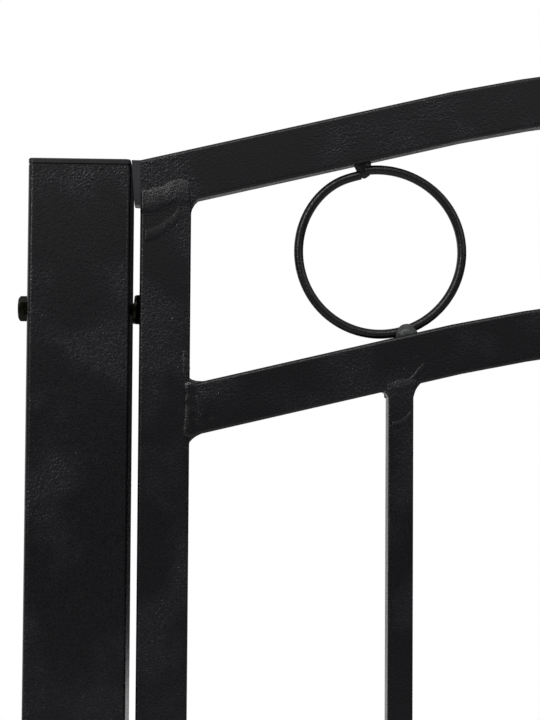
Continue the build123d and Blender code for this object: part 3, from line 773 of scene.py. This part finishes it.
@dataclass(frozen=True)
class WireRing:
    """Ring bent from round wire: its ends meet under the tab that is welded to the top rail.

    Attributes:
        node: CAD ring that it stands for.
        lean: degrees that its foot is turned from straight down, towards +X.
        mirrored: whether it is the mirror image of the others.
        wire: half the wire's thickness, millimetres.
        points: number of points along the wire.
        first_end: degrees from the middle of the tab to the wire's first end.
        last_end: degrees from the middle of the tab to its last end, the other way.
        spread: how far the first end stands out of the circle, millimetres.
        tuck: how far the last end is tucked in, millimetres.
        wobble: how uneven the rest of it is, millimetres.
    """

    node: str
    lean: float
    mirrored: bool = False
    wire: float = 2.75
    points: int = 400
    first_end: float = 1.6
    last_end: float = 0.4
    spread: float = 0.85
    tuck: float = 1.25
    wobble: float = 0.14

    def bent(self, from_first: Array, to_last: Array, turn: Array) -> Array:
        """How far the wire strays from a true circle: it was closed by hand, so both ends stray most.

        The first end's stray fades as an exponential, the last end's as a bell, and between them
        runs a wave of three lobes.

        Args:
            from_first: degrees from the wire's first end.
            to_last: degrees to its last end.
            turn: angle on the circle.
        Returns:
            Millimetres outwards.
        """
        spread_fade, tuck_fade, wobble_rise = 24, 15, 40
        ends = self.spread * np.exp(-from_first / spread_fade)
        ends -= self.tuck * np.exp(-(to_last / tuck_fade) ** 2)
        between = np.clip(from_first / wobble_rise, 0, 1) * np.clip(to_last / wobble_rise, 0, 1)
        return ends + self.wobble * np.sin(3 * turn + 1.0) * between

    def surface(self) -> tuple[Array, Array, Array]:
        """Closed skin of the wire: a circle carried along the bent line, smaller at both ends.

        Returns:
            What `skin` returns, in metres.
        """
        low, high = box_mm(self.node)
        centre = (low + high) / 2
        radius = (high[0] - low[0]) / 2 - self.wire
        head = pi / 2 + radians(self.lean)
        share = np.linspace(0, 1, self.points)
        first, last = head - radians(self.first_end), head + radians(self.last_end) - tau
        turn = first + (last - first) * share
        strays = self.bent(np.degrees(first - turn), np.degrees(turn - last), turn)
        flip = -1.0 if self.mirrored else 1.0
        across = np.stack([flip * np.cos(turn), np.zeros(self.points), np.sin(turn)], axis=1)
        middle = centre + across * (radius + strays)[:, None]
        ends_in_wire = 320   # times that one rounded end would go into the wire's length
        rounding = np.clip(np.minimum(share, 1 - share) * ends_in_wire, 0.05, 1)
        round_end = np.sqrt(np.clip(1 - (1 - rounding) ** 2, 0, 1))
        spin = np.linspace(0, tau, POINTS_ROUND, endpoint=False)
        reach = across[:, None] * np.cos(spin)[None, :, None] + np.array(Y) * np.sin(spin)[None, :, None]
        rings = middle[:, None] + reach * (self.wire * round_end)[:, None, None]
        if not self.mirrored:
            rings = rings[:, ::-1]
        return skin(rings * MM, middle[0] * MM, middle[-1] * MM)


class RingMaker:
    """Makes the wire rings and their tabs."""

    def __init__(self, gate: Gate) -> None:
        """Set out the three rings.

        Args:
            gate: places that the tabs hang from.
        """
        self.rings = (WireRing("ring_left", gate.slope), WireRing("ring_centre", 0.0),
                      WireRing("ring_right", gate.slope, mirrored=True))
        self.gate = gate

    def tab(self, ring: WireRing) -> Bead:
        """Tapered tab of weld metal from the top rail's underside over the ends of the wire.

        Args:
            ring: ring that it holds.
        Returns:
            The tab, as a run of weld that gets narrower downwards.
        """
        low, high = box_mm(ring.node)
        centre = (low + high) / 2
        way = -1.0 if ring.mirrored else 1.0
        into_rail, foot_reach, tip_reach = 4.6, 47.6, 45.4
        foot = centre[0] - way * sin(radians(ring.lean)) * foot_reach
        top_x = foot - way * 2.2
        top_z = self.gate.arch(top_x, self.gate.rail)[0] + into_rail
        tip_z = centre[2] + cos(radians(ring.lean)) * tip_reach
        path = ((top_x, centre[1], top_z), (foot + way * 0.5, centre[1], (top_z + tip_z) / 2),
                (foot + way * 1.1, centre[1], tip_z))
        return Bead(path, X, Y, 7.4, 3.6, uneven=0.04, end_scale=0.38)

    def make(self) -> list[bpy.types.Object]:
        """Make every ring and the tabs.

        Returns:
            One piece for each ring, then one for all the tabs.
        """
        pieces = [as_piece(f"{ring.node}_wire", [ring.surface()], "leaf", (ring.node,))
                  for ring in self.rings]
        tabs = [self.tab(ring).surface(seed) for seed, ring in enumerate(self.rings, 90)]
        return pieces + [as_piece("ring_tab_welds", tabs, "leaf", ("ring_tabs",))]


@dataclass(frozen=True)
class HingeBolt:
    """M8 hexagon bolt of a hinge, its axis along X: chamfered head and rolled thread, millimetres."""

    head_flats: float = 13.0
    head_height: float = 5.5
    radius: float = 4.0
    pitch: float = 1.25
    post_half: float = 30.0
    thread_start: float = 24.2
    thread_depth: float = 0.78
    thread_step: float = 0.12    # distance between the rings of the threaded stretch
    chamfer: float = 0.8
    around: int = 96

    def surface(self, end: float, y: float, z: float) -> tuple[Array, Array, Array]:
        """Closed skin of one bolt, in metres.

        Args:
            end: where it ends along X.
            y: place of its axis.
            z: height of its axis.
        Returns:
            What `skin` returns, in metres.
        """
        turn = np.linspace(0, tau, self.around, endpoint=False)
        sector = (turn + pi / 6) % (pi / 3) - pi / 6
        hexagon = self.head_flats / 2 / np.cos(sector)
        top = -self.post_half - self.head_height
        # the head's round outline: distance down from its top, and how far out it may reach there
        depth = np.array([0.0, 0.0, 0.12, 0.35, 0.7, 1.1, 1.6, 2.4, 4.2, 5.2, 5.5])
        crown = np.array([3.2, 5.6, 6.05, 6.45, 6.95, 7.35, 7.7, 8.2, 8.4, 8.1, 7.9])
        head = np.minimum(hexagon[None], crown[:, None])
        shank_x = np.array([-self.post_half, self.thread_start - 0.2])
        thread_end = end - self.chamfer - 0.1
        thread_x = np.arange(self.thread_start, thread_end, self.thread_step)
        # the thread: a triangle wave that is cut flat at its crests and roots, and fades at both ends
        wave = np.abs(((thread_x[:, None] / self.pitch - turn[None] / tau) % 1) * 2 - 1)
        groove = np.clip(1.25 * wave - 0.12, 0, 1)
        run_in, run_out = 1.2, 0.8
        fade_in = np.clip((thread_x[:, None] - self.thread_start) / run_in, 0, 1)
        fade_out = np.clip((thread_end - thread_x[:, None]) / run_out, 0, 1)
        thread = self.radius - self.thread_depth * fade_in * fade_out * groove
        tip = np.array([[self.radius], [self.radius - self.chamfer]]) * np.ones(self.around)
        radii = np.concatenate([head, np.full((2, self.around), self.radius), thread, tip])
        along = np.concatenate([top + depth, shank_x, thread_x, [end - self.chamfer, end]])
        rings = np.stack([np.broadcast_to(along[:, None], radii.shape), y + radii * np.cos(turn),
                          z + radii * np.sin(turn)], axis=-1)
        return skin(rings * MM, np.array([top, y, z]) * MM, np.array([end, y, z]) * MM)


def hinge_bolts() -> bpy.types.Object:
    """Make both hinge bolts with their threads.

    Returns:
        One piece that is shown in place of the CAD's plain bolts.
    """
    low, high = box_mm("hinge_bolts")
    y = (low[1] + high[1]) / 2
    corner = HingeBolt.head_flats / 2 / cos(pi / 6)
    skins = [HingeBolt().surface(high[0], y, z) for z in (low[2] + corner, high[2] - corner)]
    return as_piece("hinge_bolts_threaded", skins, "frame", ("hinge_bolts",))


# ---- studio ------------------------------------------------------------------------------
@dataclass
class Studio:
    """Pale floor, bright surroundings behind the gate and dim ones in front, and soft lamps.

    Attributes:
        floor_radius: metres.
        floor_shade: hex colour of the floor.
        behind: brightness behind the gate, low and to the left, and below it.
        front_low: brightness in front, at the height of the eye and lower.
        front_high: brightness in front, overhead.
        behind_right: brightness behind the gate, low and to the right.
        behind_high: brightness behind the gate, overhead.
        lamps: for each lamp its place in metres, its width and height in metres, and its watts.
    """

    floor_radius: float = 9.0
    floor_shade: str = "e9e9e9"
    behind: float = 1.0
    front_low: float = 0.0
    front_high: float = 0.46
    behind_right: float = 0.01
    behind_high: float = 0.30
    lamps: dict = field(default_factory=lambda: {
        "left_strip": ((-1.4, -2.3, 3.2), (0.10, 2.2), 22.0),
        "top": ((0.0, -2.0, 3.9), (1.2, 0.6), 10.0),
        "right_front": ((2.6, -2.6, 3.0), (1.0, 1.0), 6.0),
    })

    def build(self, aim: Vector) -> None:
        """Build the floor, the surroundings and the lamps.

        Args:
            aim: point that every lamp is turned to.
        """
        self.floor()
        self.surroundings()
        for name, (place, size, power) in self.lamps.items():
            lamp = bpy.data.lights.new(name, "AREA")
            lamp.shape = "RECTANGLE"
            lamp.size, lamp.size_y = size
            lamp.energy = power
            holder = bpy.data.objects.new(name, lamp)
            holder.location = place
            holder.rotation_euler = (aim - Vector(place)).to_track_quat("-Z", "Y").to_euler()
            bpy.context.scene.collection.objects.link(holder)

    def floor(self) -> None:
        """Lay a round pale floor under the posts' feet."""
        sides = 96
        turns = np.linspace(0, tau, sides, endpoint=False)
        rim = np.stack([np.cos(turns), np.sin(turns), np.zeros(sides)], axis=1) * self.floor_radius
        mesh = bpy.data.meshes.new("floor")
        mesh.from_pydata(rim.tolist(), [], [tuple(range(sides))])
        floor = bpy.data.objects.new("floor", mesh)
        bpy.context.scene.collection.objects.link(floor)
        material, tree, _ = start_material("floor_paint")
        shader = add(tree, "ShaderNodeBsdfPrincipled", Roughness=0.9)
        shader.inputs["Base Color"].default_value = linear(self.floor_shade)
        end_material(tree, shader)
        mesh.materials.append(material)

    def surroundings(self) -> None:
        """Light from all around: bright behind and below the gate, dim in front, white to the eye.

        Each part of it is a ramp over the way that is looked in, whose X, Y and Z run from -1 to 1.
        """
        world = bpy.data.worlds.new("studio")
        bpy.context.scene.world = world
        world.use_nodes = True
        tree = world.node_tree
        tree.nodes.clear()
        way = add(tree, "ShaderNodeTexCoord").outputs["Generated"]
        parts = add(tree, "ShaderNodeSeparateXYZ", {0: way})
        # in front of the gate, from the height of the eye upwards
        sky = add(tree, "ShaderNodeMapRange", {"Value": parts.outputs["Z"]}, From_Min=-0.06, From_Max=0.30,
                  To_Min=self.front_low, To_Max=self.front_high, interpolation_type="SMOOTHSTEP")
        # behind it, upwards: first on the right, then on the left
        high = add(tree, "ShaderNodeMapRange", {"Value": parts.outputs["Z"]}, From_Min=0.12, From_Max=0.55,
                   To_Min=self.behind_right, To_Max=self.behind_high, interpolation_type="SMOOTHSTEP")
        left = add(tree, "ShaderNodeMapRange", {"Value": parts.outputs["Z"]}, From_Min=0.20, From_Max=0.40,
                   To_Min=self.behind, To_Max=self.behind_high, interpolation_type="SMOOTHSTEP")
        # from left to right, then the bright part below, and from front to back
        beside = add(tree, "ShaderNodeMapRange", {"Value": parts.outputs["X"], "To Min": left.outputs[0],
                                                  "To Max": high.outputs[0]},
                     From_Min=-0.14, From_Max=-0.10, interpolation_type="SMOOTHSTEP")
        below = add(tree, "ShaderNodeMapRange", {"Value": parts.outputs["Z"]}, From_Min=-0.175,
                    From_Max=-0.14, To_Min=self.behind, To_Max=0.0, interpolation_type="SMOOTHSTEP")
        rear = add(tree, "ShaderNodeMath", {0: beside.outputs[0], 1: below.outputs[0]}, operation="MAXIMUM")
        depth = add(tree, "ShaderNodeMapRange", {"Value": parts.outputs["Y"], "To Min": sky.outputs[0],
                                                 "To Max": rear.outputs[0]},
                    From_Min=-0.30, From_Max=0.30, interpolation_type="SMOOTHSTEP")
        eye = add(tree, "ShaderNodeLightPath").outputs["Is Camera Ray"]
        power = add(tree, "ShaderNodeMix", {0: eye, 2: depth.outputs[0]}, data_type="FLOAT")
        power.inputs[3].default_value = 1.0
        glow = add(tree, "ShaderNodeBackground", {"Strength": power.outputs[0]})
        glow.inputs["Color"].default_value = (1.0, 1.0, 1.0, 1.0)
        add(tree, "ShaderNodeOutputWorld", {"Surface": glow.outputs[0]})


@dataclass
class Viewpoint:
    """Camera before the top corner at the hinge post, a little below it and looking slightly up.

    Its place is in metres and its angles are in degrees.
    """

    place: tuple[float, float, float] = (0.0706, -0.9662, 1.8467)
    turn_left: float = -2.59
    look_up: float = 2.40
    roll: float = 0.38
    focal_mm: float = 106.253333
    sensor_mm: float = 36.0

    def build(self) -> None:
        """Make the camera and make it the scene's own."""
        camera = bpy.data.cameras.new("viewpoint")
        camera.sensor_fit = "HORIZONTAL"
        camera.sensor_width = self.sensor_mm
        camera.lens = self.focal_mm
        camera.clip_start = 0.05
        camera.dof.use_dof = False
        holder = bpy.data.objects.new("viewpoint", camera)
        turn = Matrix.Rotation(radians(self.turn_left), 4, "Z")
        tip = Matrix.Rotation(radians(90 + self.look_up), 4, "X")
        lean = Matrix.Rotation(radians(self.roll), 4, "Z")
        holder.matrix_world = Matrix.Translation(self.place) @ turn @ tip @ lean
        bpy.context.scene.collection.objects.link(holder)
        bpy.context.scene.camera = holder
        bpy.context.scene.view_settings.view_transform = "Standard"


def main() -> None:
    """Build the gate's looks in order."""
    logging.basicConfig(level=logging.INFO, format="%(name)s %(message)s")
    paint = Paintshop()
    paint.dress_frame()
    gate = Gate()
    coated, ring_feet = Welder(gate).lay()
    for piece in coated + RingMaker(gate).make():
        paint.dress(piece, Finish.POWDER)
    paint.dress(ring_feet, Finish.THIN_POWDER)
    paint.dress(hinge_bolts(), Finish.BLACK_ZINC)
    Studio().build(aim=Vector((0.4, 0.0, 1.6)))
    Viewpoint().build()
    LOG.info("frame dressed: %d nodes", len(frame["nodes"]))


if __name__ == "__main__":
    main()
